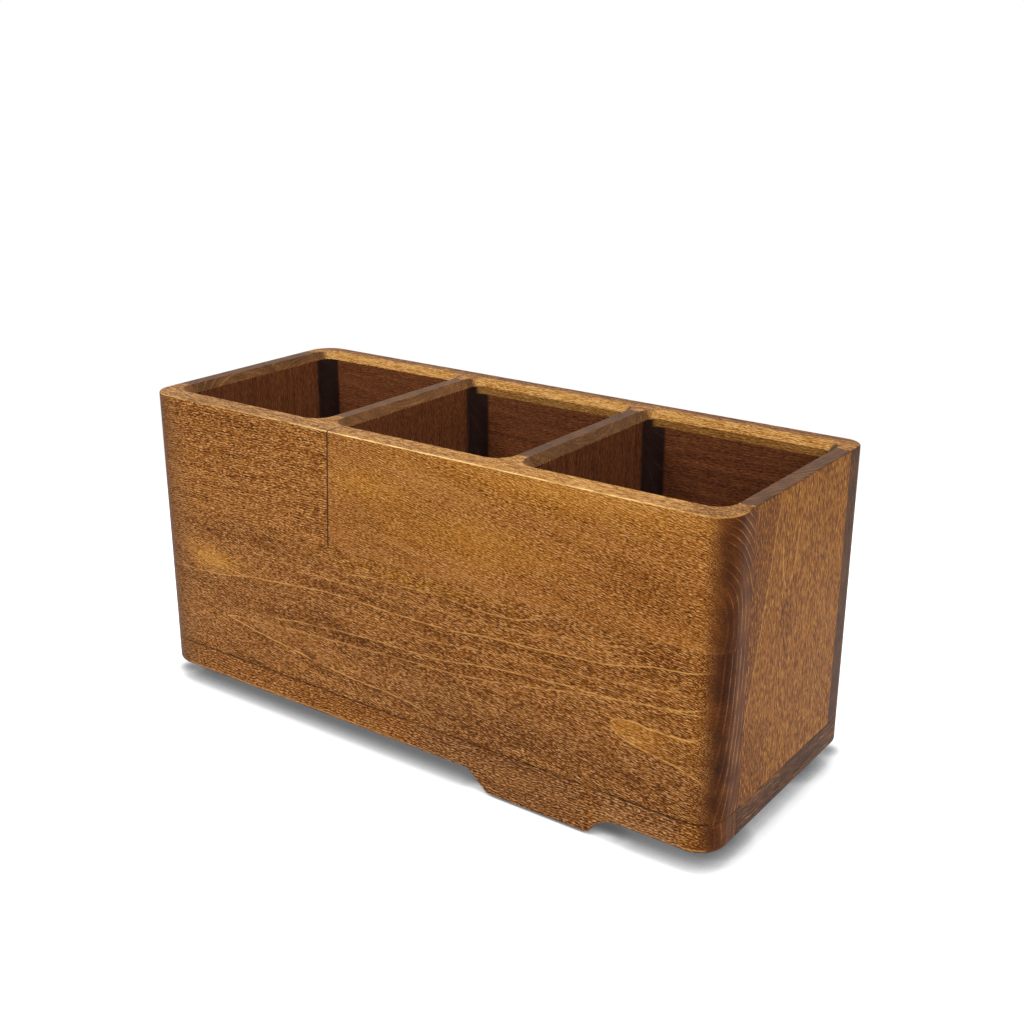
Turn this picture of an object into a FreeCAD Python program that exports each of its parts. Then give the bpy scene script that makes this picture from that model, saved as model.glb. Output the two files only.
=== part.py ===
"""Utensil caddy in solid wood: three compartments over a slim slide-out tray.

Millimetres. +Z is up, +X runs along the long side, and the front faces -Y.
The origin is on the table under the centre of the box.
"""
import FreeCAD, Part
import os

from FreeCAD import Vector

# ---- driving dimensions -------------------------------------------------
# overall
LENGTH = 300.0
WIDTH = 119.5
BOX_HEIGHT = 136.0          # underside of the plinth to the rim
FOOT_HEIGHT = 8.5
PLINTH_HEIGHT = 13.8        # the low course that holds the tray
CORNER_RADIUS = 12.0        # outer vertical corners
REAR_RIGHT_RADIUS = 8.5     # all but this one, which is tighter

# boards
FRONT_BOARD = 20.0
BACK_BOARD = 16.0
SIDE_WALL = 10.0
DIVIDER = 12.0
FLOOR = 5.0
COMPARTMENTS = 3

# routed shapes
FRONT_POCKET = 6.7          # how deep each compartment is routed into the front board
BACK_POCKET = 5.7
POCKET_RADIUS = 5.7         # upright inside corners
RIM_CHAMFER = 3.3           # 45 degrees round the top of each compartment
RIM_ROUND = 0.8             # outer edge of the rim
PLINTH_ROUND = 3.0          # lower outer edge
PLINTH_BREAK = 0.35         # upper outer edge, which shows as a fine line under the walls
FLOOR_TONGUE = 4.5          # how far the floor reaches into the front and back boards

# glue joints between staves
FRONT_JOINT_Z = 83.6        # above the underside of the plinth
BACK_JOINT_Z = 57.0
BUTT_JOINT_X = -38.8        # middle of the upright joint in the upper front course
BUTT_JOINT_LEAN = 2.4       # the joint leans this much to the right over its height
RIGHT_JOINT_Y = -19.0
LEFT_JOINT_Y = 12.0

# dowels
DOWEL_RADIUS = 3.0
DOWEL_LENGTH = 28.0
DOWEL_IN_FRONT = 12.0
DOWEL_IN_BACK = 10.0
DOWEL_HEIGHTS = (35.0, 70.0, 110.0)   # above the underside of the plinth

# tray and its runners
RAIL_WIDTH = 26.0
TRAY_GAP = 0.5              # beside and behind the tray
STOP_GAP = 0.3              # between the closed tray front and the rails
FRONT_SEAM = 0.4            # between the tray front and the box above it
TRAY_WALL = 8.0
TRAY_BOTTOM = 3.0
TRAY_BOTTOM_LIFT = 2.0      # above the underside of the plinth
TRAY_HEADROOM = 1.0         # between the tray walls and the floor above
TONGUE = 4.0                # how far the tray bottom reaches into each rail
GROOVE_PLAY = 0.35          # above and below the tongue
TRAY_FRONT_GROOVE = 6.0     # how deep the tray bottom sits in the tray front
TRAY_TRAVEL = 60.0
STOP_PIN_RADIUS = 1.25
STOP_PIN_INSET = 8.0        # from the front end of the rail
STOP_PIN_LENGTH = 10.0
STOP_CATCH = 1.5            # how far the pin stands in the way of the tongue

# finger tab under the tray front
TAB_LEFT = 45.0
TAB_RIGHT = 95.0
TAB_DROP = 7.0
TAB_THICKNESS = 8.0
TAB_SLOPE = 1.17            # run of the straight left flank for each millimetre of rise
TAB_COVE_RUN = 14.0         # the hollow right flank
TAB_COVE_RISE = 8.6
TAB_ROOT = 4.0              # how far the tab reaches up into the tray front

# feet and screws
FOOT_RADIUS = 7.0
FOOT_TAPER = 1.0            # the foot is this much slimmer at the table
FOOT_FROM_SIDE = 14.0
FOOT_FROM_RAIL_END = 8.7
FOOT_FROM_BACK = 20.0
FOOT_BORE_RADIUS = 4.0
FOOT_BORE_DEPTH = 4.5
SCREW_RADIUS = 1.5
SCREW_HEAD_RADIUS = 3.0
SCREW_HEAD_HEIGHT = 1.8
SCREW_RECESS = 0.6
FOOT_SCREW_BITE = 9.0
RAIL_SCREW_LENGTH = 28.0
FLOOR_SCREW_LENGTH = 14.0
RAIL_SCREW_INSET = 14.0     # from each end of the side walls
FLOOR_SCREW_INSET = 5.0     # from the ends of the floor, into the front and back boards
BRAD_RADIUS = 0.7
BRAD_COVER = 1.8            # wood left above the point of a brad
BRADS_PER_SIDE = 3
BRADS_BEHIND = 5

FIT = 0.1                   # round a dowel, screw, brad or loose panel edge
OVER = 1.0                  # how far a cutter runs past the face it opens

# ---- derived places -----------------------------------------------------
HALF_L = LENGTH / 2
HALF_W = WIDTH / 2
PLINTH_Z = FOOT_HEIGHT
BOX_Z = PLINTH_Z + PLINTH_HEIGHT
FLOOR_Z = BOX_Z + FLOOR
RIM_Z = PLINTH_Z + BOX_HEIGHT
FRONT_INNER = -HALF_W + FRONT_BOARD        # back face of the front board
BACK_INNER = HALF_W - BACK_BOARD
WALL_INNER = HALF_L - SIDE_WALL
CELL_LENGTH = (2 * WALL_INNER - (COMPARTMENTS - 1) * DIVIDER) / COMPARTMENTS
CELL_FRONT = FRONT_INNER - FRONT_POCKET
CELL_BACK = BACK_INNER + BACK_POCKET
CELL_RADIUS = min(POCKET_RADIUS, FRONT_POCKET, BACK_POCKET)
OUTER_RADII = (REAR_RIGHT_RADIUS, CORNER_RADIUS, CORNER_RADIUS, CORNER_RADIUS)
FLOOR_FRONT = CELL_FRONT - FLOOR_TONGUE
FLOOR_BACK = CELL_BACK + FLOOR_TONGUE
RAIL_INNER = HALF_L - RAIL_WIDTH
TRAY_HALF = RAIL_INNER - TRAY_GAP
TRAY_BACK_Y = BACK_INNER - TRAY_GAP
TRAY_FRONT_Y = FRONT_INNER - STOP_GAP      # back face of the tray front
TRAY_BOTTOM_Z = PLINTH_Z + TRAY_BOTTOM_LIFT
TRAY_WALL_Z = TRAY_BOTTOM_Z + TRAY_BOTTOM
TRAY_TOP_Z = BOX_Z - TRAY_HEADROOM
BRAD_LENGTH = TRAY_TOP_Z - BRAD_COVER - TRAY_BOTTOM_Z
GROOVE_BOTTOM_X = TRAY_HALF + TONGUE + 2 * TRAY_GAP
STOP_PIN_X = GROOVE_BOTTOM_X - STOP_PIN_RADIUS
STOP_PIN_Y = FRONT_INNER + STOP_PIN_INSET
NOTCH_X = TRAY_HALF + TONGUE - STOP_CATCH - TRAY_GAP
NOTCH_END_Y = STOP_PIN_Y + STOP_PIN_RADIUS + STOP_GAP + TRAY_TRAVEL
FOOT_X = HALF_L - FOOT_FROM_SIDE
FOOT_YS = (FRONT_INNER + FOOT_FROM_RAIL_END, HALF_W - FOOT_FROM_BACK)
UP = Vector(0, 0, 1)
ACROSS = Vector(0, 1, 0)


# ---- helpers ------------------------------------------------------------
def block(x0, x1, y0, y1, z0, z1):
    """A plain box between two corners."""
    return Part.makeBox(x1 - x0, y1 - y0, z1 - z0, Vector(x0, y0, z0))


def rounded_wire(x0, x1, y0, y1, radii, z):
    """A level rectangle with round corners, rear right corner first, as one closed wire."""
    corners = ((x1, y1, -1, -1), (x0, y1, 1, -1), (x0, y0, 1, 1), (x1, y0, -1, 1))
    edges = []
    ends = []
    for (x, y, inward_x, inward_y), radius in zip(corners, radii):
        bulge = radius * (1 - 0.5 ** 0.5)
        along_y = Vector(x, y + inward_y * radius, z)
        along_x = Vector(x + inward_x * radius, y, z)
        middle = Vector(x + inward_x * bulge, y + inward_y * bulge, z)
        first, last = (along_y, along_x) if inward_x == inward_y else (along_x, along_y)
        edges.append(Part.Arc(first, middle, last).toShape())
        ends.append((first, last))
    for k, (_, last) in enumerate(ends):
        following = ends[(k + 1) % len(ends)][0]
        edges.append(Part.makeLine(last, following))
    return Part.Wire(Part.__sortEdges__(edges))


def rounded_block(x0, x1, y0, y1, radii, z0, z1):
    """A box with round upright corners."""
    face = Part.Face(rounded_wire(x0, x1, y0, y1, radii, z0))
    return face.extrude(UP * (z1 - z0))


def outer_edges(solid, z):
    """The edges of the level outline at height z."""
    return [e for e in solid.Edges
            if abs(e.BoundBox.ZMin - z) < 1e-6 and abs(e.BoundBox.ZMax - z) < 1e-6]


def fuse_all(solids):
    """Several solids joined into one."""
    joined = solids[0]
    for solid in solids[1:]:
        joined = joined.fuse(solid)
    return joined.removeSplitter()


def rod(centre, radius, length, direction):
    """A round bar that starts at centre."""
    return Part.makeCylinder(radius, length, centre, direction)


def group(solids):
    """Loose identical pieces that share one node."""
    return Part.makeCompound(solids)


PIECES = {}


def save(name, shape):
    """Keep a finished piece under its node name."""
    PIECES[name] = shape


# ---- the box as it leaves the router, before it is divided into boards --
def cell_span(index):
    """Low and high X of one compartment."""
    low = -WALL_INNER + index * (CELL_LENGTH + DIVIDER)
    return low, low + CELL_LENGTH


def cell_cutter(index):
    """The hollow of one compartment with its chamfered mouth."""
    x0, x1 = cell_span(index)
    well = rounded_block(x0, x1, CELL_FRONT, CELL_BACK, 4 * (CELL_RADIUS,), BOX_Z - OVER, RIM_Z + OVER)
    foot_z = RIM_Z - RIM_CHAMFER
    wide = RIM_CHAMFER + OVER
    foot = rounded_wire(x0, x1, CELL_FRONT, CELL_BACK, 4 * (CELL_RADIUS,), foot_z)
    mouth = rounded_wire(x0 - wide, x1 + wide, CELL_FRONT - wide, CELL_BACK + wide,
                         4 * (CELL_RADIUS + wide,), RIM_Z + OVER)
    funnel = Part.makeLoft([foot, mouth], True, True)
    return well.fuse(funnel)


def routed_box():
    """The whole upper box in one block, hollowed and edged."""
    body = rounded_block(-HALF_L, HALF_L, -HALF_W, HALF_W, OUTER_RADII, BOX_Z, RIM_Z)
    body = body.makeFillet(RIM_ROUND, outer_edges(body, RIM_Z))
    for index in range(COMPARTMENTS):
        body = body.cut(cell_cutter(index))
    return body


def plinth_block():
    """The low course in one block, rounded over below and with its upper arris broken."""
    body = rounded_block(-HALF_L, HALF_L, -HALF_W, HALF_W, OUTER_RADII, PLINTH_Z, BOX_Z)
    body = body.makeFillet(PLINTH_ROUND, outer_edges(body, PLINTH_Z))
    return body.makeChamfer(PLINTH_BREAK, outer_edges(body, BOX_Z))


# ---- dowels and screws --------------------------------------------------
def wall_dowel_places():
    """Start points of the dowels between the side walls and the boards."""
    xs = (-HALF_L + SIDE_WALL / 2, HALF_L - SIDE_WALL / 2)
    return dowel_places(xs)


def divider_dowel_places():
    """Start points of the dowels between the dividers and the boards."""
    xs = [cell_span(k)[1] + DIVIDER / 2 for k in range(COMPARTMENTS - 1)]
    return dowel_places(xs)


def dowel_places(xs):
    """A dowel into the front board and one into the back board at each height."""
    ys = (FRONT_INNER - DOWEL_IN_FRONT, BACK_INNER + DOWEL_IN_BACK - DOWEL_LENGTH)
    return [Vector(x, y, PLINTH_Z + h) for x in xs for y in ys for h in DOWEL_HEIGHTS]


def dowels(places, radius=DOWEL_RADIUS, extra=0.0):
    """Round dowels along Y, or their holes when extra is more than 0."""
    step = ACROSS * extra
    return [rod(p - step, radius, DOWEL_LENGTH + 2 * extra, ACROSS) for p in places]


def countersunk_screw(x, y, z, length):
    """A wood screw driven upwards, its flat head at height z."""
    head = Part.makeCone(SCREW_HEAD_RADIUS, SCREW_RADIUS, SCREW_HEAD_HEIGHT, Vector(x, y, z), UP)
    shank = rod(Vector(x, y, z), SCREW_RADIUS, length, UP)
    return head.fuse(shank).removeSplitter()


def screw_hole(x, y, z, length):
    """The countersunk hole that the screw sits in, open below."""
    slope = (SCREW_HEAD_RADIUS - SCREW_RADIUS) / SCREW_HEAD_HEIGHT
    head = Part.makeCone(SCREW_HEAD_RADIUS + FIT, SCREW_RADIUS + FIT, SCREW_HEAD_HEIGHT + FIT * slope,
                         Vector(x, y, z), UP)
    shank = rod(Vector(x, y, z), SCREW_RADIUS + FIT, length + FIT, UP)
    mouth = rod(Vector(x, y, z - SCREW_RECESS - OVER), SCREW_HEAD_RADIUS + FIT, SCREW_RECESS + OVER, UP)
    return fuse_all([head, shank, mouth])


def rail_screw_places():
    """Three screws up through each side rail into the side wall."""
    first = FRONT_INNER + RAIL_SCREW_INSET
    last = BACK_INNER - RAIL_SCREW_INSET
    x = HALF_L - SIDE_WALL / 2
    ys = (first, (first + last) / 2, last)
    return [(side * x, y, PLINTH_Z + SCREW_RECESS) for side in (-1, 1) for y in ys]


def floor_screw_places():
    """Four screws up through the floor under each divider."""
    first = FLOOR_FRONT + FLOOR_SCREW_INSET
    last = FLOOR_BACK - FLOOR_SCREW_INSET
    third = (last - first) / 3
    xs = [cell_span(k)[1] + DIVIDER / 2 for k in range(COMPARTMENTS - 1)]
    return [(x, first + k * third, BOX_Z + SCREW_RECESS) for x in xs for k in range(4)]


# ---- upper box ----------------------------------------------------------
def floor_panel():
    """The bottom of the compartments, let into the front and back boards."""
    panel = block(-WALL_INNER, WALL_INNER, FLOOR_FRONT, FLOOR_BACK, BOX_Z, FLOOR_Z)
    return drilled(panel)


def floor_recess():
    """The rabbet that the floor leaves in the front and back boards."""
    return block(-WALL_INNER, WALL_INNER, FLOOR_FRONT, FLOOR_BACK, BOX_Z - OVER, FLOOR_Z)


def drilled(piece):
    """The piece with every dowel and screw hole that reaches it."""
    box = piece.BoundBox
    box.enlarge(FIT)
    for hole in HOLES:
        if box.intersect(hole.BoundBox):
            piece = piece.cut(hole)
    return piece


def all_holes():
    """Holes for the dowels, the rail screws and the floor screws."""
    holes = dowels(wall_dowel_places() + divider_dowel_places(), DOWEL_RADIUS + FIT, FIT)
    holes += [screw_hole(*p, RAIL_SCREW_LENGTH) for p in rail_screw_places()]
    holes += [screw_hole(*p, FLOOR_SCREW_LENGTH) for p in floor_screw_places()]
    return holes


def course(body, y0, y1, z0, z1):
    """The part of the box between two Y planes and two heights."""
    return body.common(block(-HALF_L - OVER, HALF_L + OVER, y0, y1, z0, z1))


def front_staves(body):
    """Lower course, and two upper pieces that meet in a leaning butt joint."""
    joint_z = PLINTH_Z + FRONT_JOINT_Z
    board = body.cut(floor_recess())
    lower = course(board, -HALF_W - OVER, FRONT_INNER, BOX_Z, joint_z)
    upper = course(board, -HALF_W - OVER, FRONT_INNER, joint_z, RIM_Z)
    low_x = BUTT_JOINT_X - BUTT_JOINT_LEAN / 2
    high_x = BUTT_JOINT_X + BUTT_JOINT_LEAN / 2
    outline = [Vector(-HALF_L - OVER, -HALF_W - OVER, joint_z), Vector(low_x, -HALF_W - OVER, joint_z),
               Vector(high_x, -HALF_W - OVER, RIM_Z), Vector(-HALF_L - OVER, -HALF_W - OVER, RIM_Z)]
    left_side = Part.Face(Part.makePolygon(outline + outline[:1])).extrude(ACROSS * (FRONT_BOARD + 2 * OVER))
    save("front_lower_stave", drilled(lower))
    save("front_upper_left_stave", drilled(upper.common(left_side)))
    save("front_upper_right_stave", drilled(upper.cut(left_side)))


def back_staves(body):
    """Two courses, glued edge to edge."""
    joint_z = PLINTH_Z + BACK_JOINT_Z
    board = body.cut(floor_recess())
    save("back_lower_stave", drilled(course(board, BACK_INNER, HALF_W + OVER, BOX_Z, joint_z)))
    save("back_upper_stave", drilled(course(board, BACK_INNER, HALF_W + OVER, joint_z, RIM_Z)))


def side_walls(body):
    """Each side wall is two upright staves between the front and back boards."""
    for name, x0, x1, joint_y in (("left", -HALF_L - OVER, -WALL_INNER, LEFT_JOINT_Y),
                                  ("right", WALL_INNER, HALF_L + OVER, RIGHT_JOINT_Y)):
        for end, y0, y1 in (("front", FRONT_INNER, joint_y), ("rear", joint_y, BACK_INNER)):
            stave = body.common(block(x0, x1, y0, y1, BOX_Z, RIM_Z))
            save(f"{name}_wall_{end}_stave", drilled(stave))


def dividers(body):
    """Upright boards between the compartments, standing on the floor."""
    for index, name in enumerate(divider_names()):
        x0 = cell_span(index)[1]
        board = body.common(block(x0, x0 + DIVIDER, FRONT_INNER, BACK_INNER, FLOOR_Z, RIM_Z))
        save(name, drilled(board))


def divider_names():
    """left_divider and right_divider, or numbered ones if there are more."""
    if COMPARTMENTS == 3:
        return ["left_divider", "right_divider"]
    return [f"divider_{k + 1}" for k in range(COMPARTMENTS - 1)]


# ---- plinth -------------------------------------------------------------
def rail_groove(side):
    """The runner groove in a side rail, open at its front end."""
    z0 = TRAY_BOTTOM_Z - GROOVE_PLAY
    z1 = TRAY_WALL_Z + GROOVE_PLAY
    x0, x1 = sorted((side * (RAIL_INNER - OVER), side * GROOVE_BOTTOM_X))
    return block(x0, x1, FRONT_INNER - OVER, BACK_INNER, z0, z1)


def stop_pin(side):
    """A pin that stands in the runner groove and stops the open tray."""
    return rod(Vector(side * STOP_PIN_X, STOP_PIN_Y, PLINTH_Z + SCREW_RECESS), STOP_PIN_RADIUS,
               STOP_PIN_LENGTH, UP)


def stop_pin_hole(side):
    """The hole of the stop pin, open below."""
    return rod(Vector(side * STOP_PIN_X, STOP_PIN_Y, PLINTH_Z - OVER), STOP_PIN_RADIUS + FIT,
               STOP_PIN_LENGTH + SCREW_RECESS + OVER + FIT, UP)


def rails(plinth):
    """Two side rails with their runner grooves, and a back rail between them."""
    for name, side in (("left_rail", -1), ("right_rail", 1)):
        x0, x1 = sorted((side * RAIL_INNER, side * (HALF_L + OVER)))
        rail = plinth.common(block(x0, x1, FRONT_INNER, HALF_W + OVER, PLINTH_Z, BOX_Z))
        rail = rail.cut(rail_groove(side)).cut(stop_pin_hole(side))
        for y in FOOT_YS:
            rail = rail.cut(foot_screw_hole(side * FOOT_X, y))
        save(name, drilled(rail))
    save("back_rail", plinth.common(block(-RAIL_INNER, RAIL_INNER, BACK_INNER, HALF_W + OVER, PLINTH_Z, BOX_Z)))


def foot(x, y):
    """A rubber foot with a recessed screw hole."""
    body = Part.makeCone(FOOT_RADIUS - FOOT_TAPER, FOOT_RADIUS, FOOT_HEIGHT, Vector(x, y, 0), UP)
    bore = rod(Vector(x, y, -OVER), FOOT_BORE_RADIUS, FOOT_BORE_DEPTH + OVER, UP)
    hole = rod(Vector(x, y, 0), SCREW_RADIUS + FIT, FOOT_HEIGHT + OVER, UP)
    return body.cut(bore).cut(hole)


def foot_screw(x, y):
    """A pan head screw up through a foot into its rail."""
    seat = FOOT_BORE_DEPTH
    head = rod(Vector(x, y, seat - SCREW_HEAD_HEIGHT), SCREW_HEAD_RADIUS, SCREW_HEAD_HEIGHT, UP)
    shank = rod(Vector(x, y, seat), SCREW_RADIUS, FOOT_HEIGHT - seat + FOOT_SCREW_BITE, UP)
    return head.fuse(shank).removeSplitter()


def foot_screw_hole(x, y):
    """The pilot hole of a foot screw in its rail."""
    return rod(Vector(x, y, PLINTH_Z - OVER), SCREW_RADIUS + FIT, FOOT_SCREW_BITE + OVER + FIT, UP)


def feet():
    """Four feet, and their screws in one group."""
    screws = []
    for depth_name, y in zip(("front", "rear"), FOOT_YS):
        for side_name, side in (("left", -1), ("right", 1)):
            save(f"{depth_name}_{side_name}_foot", foot(side * FOOT_X, y))
            screws.append(foot_screw(side * FOOT_X, y))
    save("foot_screws", group(screws))


# ---- tray ---------------------------------------------------------------
def finger_tab():
    """The tab that hangs under the tray front: one straight flank, one hollow flank."""
    low = PLINTH_Z - TAB_DROP
    top = PLINTH_Z + TAB_ROOT
    y = -HALF_W
    cove_z = low + TAB_COVE_RISE
    radius = (TAB_COVE_RUN ** 2 + TAB_COVE_RISE ** 2) / (2 * TAB_COVE_RISE)
    centre_x = TAB_RIGHT + TAB_COVE_RUN
    middle_x = TAB_RIGHT + TAB_COVE_RUN / 3
    middle_z = cove_z - radius + (radius ** 2 - (centre_x - middle_x) ** 2) ** 0.5
    left_top = Vector(TAB_LEFT - TAB_SLOPE * (TAB_DROP + TAB_ROOT), y, top)
    left_low = Vector(TAB_LEFT, y, low)
    right_low = Vector(TAB_RIGHT, y, low)
    cove_end = Vector(centre_x, y, cove_z)
    right_top = Vector(centre_x, y, top)
    cove = Part.Arc(right_low, Vector(middle_x, y, middle_z), cove_end).toShape()
    lines = [Part.makeLine(a, b) for a, b in ((left_top, left_low), (left_low, right_low),
                                              (cove_end, right_top), (right_top, left_top))]
    outline = Part.Wire(Part.__sortEdges__(lines + [cove]))
    return Part.Face(outline).extrude(ACROSS * TAB_THICKNESS)


def tray_front(plinth):
    """The front of the tray: the front of the plinth, its tab and a groove for the bottom."""
    top = BOX_Z - FRONT_SEAM
    strip = plinth.common(block(-HALF_L - OVER, HALF_L + OVER, -HALF_W - OVER, TRAY_FRONT_Y, PLINTH_Z, top))
    front = strip.fuse(finger_tab()).removeSplitter()
    groove = block(-NOTCH_X - FIT, NOTCH_X + FIT, TRAY_FRONT_Y - TRAY_FRONT_GROOVE - FIT, TRAY_FRONT_Y + OVER,
                   TRAY_BOTTOM_Z, TRAY_WALL_Z)
    save("tray_front", front.cut(groove))


def brad_places():
    """Brads up through the tray bottom into the tray walls."""
    x = TRAY_HALF - TRAY_WALL / 2
    y_back = TRAY_BACK_Y - TRAY_WALL / 2
    step_y = (y_back - TRAY_WALL - TRAY_FRONT_Y) / BRADS_PER_SIDE
    step_x = 2 * x / (BRADS_BEHIND + 1)
    places = [(side * x, TRAY_FRONT_Y + (k + 0.5) * step_y) for side in (-1, 1) for k in range(BRADS_PER_SIDE)]
    places += [(-x + (k + 1) * step_x, y_back) for k in range(BRADS_BEHIND)]
    return places


def brads(radius=BRAD_RADIUS, extra=0.0):
    """The brads, or their holes when extra is more than 0."""
    return [rod(Vector(x, y, TRAY_BOTTOM_Z - extra), radius, BRAD_LENGTH + 2 * extra, UP)
            for x, y in brad_places()]


def nailed(piece):
    """The piece with the brad holes that reach it."""
    for hole in brads(BRAD_RADIUS + FIT, FIT):
        if piece.BoundBox.intersect(hole.BoundBox):
            piece = piece.cut(hole)
    return piece


def tray_bottom():
    """A thin panel whose long edges run in the rails and whose shoulders meet the stop pins."""
    wide = TRAY_HALF + TONGUE
    narrow = block(-NOTCH_X, NOTCH_X, TRAY_FRONT_Y - TRAY_FRONT_GROOVE, TRAY_BACK_Y, TRAY_BOTTOM_Z, TRAY_WALL_Z)
    shoulder = block(-wide, wide, NOTCH_END_Y, TRAY_BACK_Y, TRAY_BOTTOM_Z, TRAY_WALL_Z)
    save("tray_bottom", nailed(narrow.fuse(shoulder).removeSplitter()))


def tray_walls():
    """Two sides and a back, standing on the tray bottom."""
    inner = TRAY_HALF - TRAY_WALL
    for name, side in (("tray_left_side", -1), ("tray_right_side", 1)):
        x0, x1 = sorted((side * inner, side * TRAY_HALF))
        save(name, nailed(block(x0, x1, TRAY_FRONT_Y, TRAY_BACK_Y, TRAY_WALL_Z, TRAY_TOP_Z)))
    back = block(-inner, inner, TRAY_BACK_Y - TRAY_WALL, TRAY_BACK_Y, TRAY_WALL_Z, TRAY_TOP_Z)
    save("tray_back", nailed(back))
    save("tray_brads", group(brads()))


# ---- assembly -----------------------------------------------------------
HOLES = all_holes()


def build():
    """Make every piece."""
    box = routed_box()
    front_staves(box)
    back_staves(box)
    side_walls(box)
    dividers(box)
    save("floor_panel", floor_panel())
    save("wall_dowels", group(dowels(wall_dowel_places())))
    save("divider_dowels", group(dowels(divider_dowel_places())))
    save("rail_screws", group([countersunk_screw(*p, RAIL_SCREW_LENGTH) for p in rail_screw_places()]))
    save("floor_screws", group([countersunk_screw(*p, FLOOR_SCREW_LENGTH) for p in floor_screw_places()]))
    plinth = plinth_block()
    rails(plinth)
    save("stop_pins", group([stop_pin(-1), stop_pin(1)]))
    feet()
    tray_front(plinth)
    tray_bottom()
    tray_walls()


def write():
    """Check every piece and write one STEP file for each."""
    os.makedirs("parts", exist_ok=True)
    for name, shape in sorted(PIECES.items()):
        solids = shape.Solids
        if not solids or not all(s.isValid() for s in solids):
            raise RuntimeError(f"{name} is not a valid solid")
        out = solids[0] if len(solids) == 1 else Part.makeCompound(solids)
        out.exportStep(f"parts/{name}.step")
        print(f"{name:26s} {len(solids):3d} solid(s) {shape.Volume / 1000:9.2f} cm3")


build()
write()
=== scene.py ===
"""Looks of the utensil caddy with a slide-out tray.

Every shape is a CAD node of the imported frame. This script gives each one a procedural finish and adds the
floor, the lamps and the camera. Objects are in metres; the materials work in millimetres of the row frame.
"""
import math

import bpy
from mathutils import Matrix, Vector

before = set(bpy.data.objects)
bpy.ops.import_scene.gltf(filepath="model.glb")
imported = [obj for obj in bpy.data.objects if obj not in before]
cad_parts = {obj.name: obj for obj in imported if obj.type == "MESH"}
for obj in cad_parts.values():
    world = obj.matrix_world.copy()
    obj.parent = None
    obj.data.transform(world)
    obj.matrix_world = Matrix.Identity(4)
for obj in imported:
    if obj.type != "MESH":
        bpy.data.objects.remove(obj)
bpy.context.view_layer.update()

# ---- places, in millimetres of the row frame ----------------------------
MM = 0.001
RIM_Z = 144.5
BOX_Z = 22.3                 # underside of the box, over the tray course
CHAMFER_Z = 141.2            # foot of the chamfer round each compartment
BAND_Z = 137.7               # foot of the golden band under the back chamfers
WALL_INNER = 140.0
FRONT_INNER = -39.75         # where the side walls and dividers meet the front board
BACK_INNER = 43.75
CELL_FRONT = -46.45          # front and back of the compartments
CELL_BACK = 49.45
CELL_PITCH = 97.33           # from the middle of one compartment to the next
CELL_FLAT = 34.6             # from the middle of a compartment to where the painted shade of its corners begins
FRONT_JOINT_Z = 92.1
BACK_JOINT_Z = 65.5
BUTT_JOINT_X = -38.8         # half way up; the joint leans to the right
BUTT_JOINT_LEAN = 2.4 / (RIM_Z - FRONT_JOINT_Z)
RIGHT_JOINT_Y = -19.0
LEFT_JOINT_Y = 12.0

# ---- camera -------------------------------------------------------------
CAMERA_PLACE = (0.3463, -0.45802, 0.30255)
CAMERA_TURN = 35.919         # degrees to the left of straight ahead
CAMERA_TILT = 19.468         # degrees below level
CAMERA_ROLL = 0.158
LENS = 48.006                # mm on a 36 mm sensor


def colour(red, green, blue):
    """Linear RGBA of a colour given in 8 bit sRGB."""
    def linear(value):
        value /= 255
        return value / 12.92 if value <= 0.04045 else ((value + 0.055) / 1.055) ** 2.4
    return (linear(red), linear(green), linear(blue), 1.0)


# Stained wood from its palest to its darkest place: on the front and back, on the side walls, where it is
# golden, where it is dull (also the painted shade and reflection at the left end of the front), on faces
# that look up, on end grain, on end grain that looks up, inside the compartments, and on the end grain
# there, these two also darkened as painted shade of the hollows. The last is bare beech.
LONG_GRAIN = ((0.0, (200, 152, 98)), (0.28, (169, 113, 52)), (0.52, (134, 79, 24)), (0.78, (101, 51, 4)),
              (1.0, (60, 28, 0)))
SIDE_GRAIN = ((0.0, (198, 146, 76)), (0.28, (166, 107, 32)), (0.52, (133, 75, 8)), (0.78, (101, 50, 0)),
              (1.0, (60, 28, 0)))
GOLD_GRAIN = ((0.0, (216, 164, 84)), (0.3, (182, 124, 42)), (0.55, (146, 88, 14)), (1.0, (72, 34, 0)))
DULL_GRAIN = ((0.0, (192, 150, 110)), (0.28, (158, 112, 68)), (0.52, (124, 80, 42)), (0.78, (92, 54, 24)),
              (1.0, (54, 30, 12)))
TOP_GRAIN = ((0.0, (196, 152, 92)), (0.28, (162, 112, 51)), (0.52, (129, 80, 27)), (0.78, (96, 52, 8)),
             (1.0, (56, 29, 3)))
END_GRAIN = ((0.0, (174, 119, 66)), (0.35, (109, 61, 22)), (0.65, (70, 34, 10)), (1.0, (34, 14, 4)))
TOP_END = ((0.0, (160, 116, 76)), (0.35, (108, 72, 42)), (0.65, (76, 48, 28)), (1.0, (44, 27, 16)))
# inside the compartments: a redder stain, also darkened as painted shade of the hollows
INSIDE_STAIN_AND_SHADE = ((0.0, (146, 90, 52)), (0.3, (114, 66, 38)), (0.6, (82, 44, 27)), (1.0, (42, 23, 17)))
INSIDE_END_AND_SHADE = ((0.0, (84, 52, 44)), (0.5, (49, 32, 28)), (1.0, (31, 21, 18)))
BARE_GRAIN = ((0.0, (236, 208, 160)), (0.4, (214, 178, 126)), (0.7, (186, 146, 98)), (1.0, (140, 102, 66)))
# glue lines, and also the painted shade in the seam over the tray
GLUE_AND_SEAM_SHADE = (44, 24, 15)
# the colour of the painted highlight on the rounded front edge of the rim
EDGE_HIGHLIGHT = (240, 204, 138)
# pale growth lines, and also the painted highlight on the tray front's lower edge
GROWTH_LINE_AND_HIGHLIGHT = (212, 154, 82)
VENEER = 1.0                 # mm, one layer of the plywood
STAIN_ROUGH = 0.46


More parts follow.
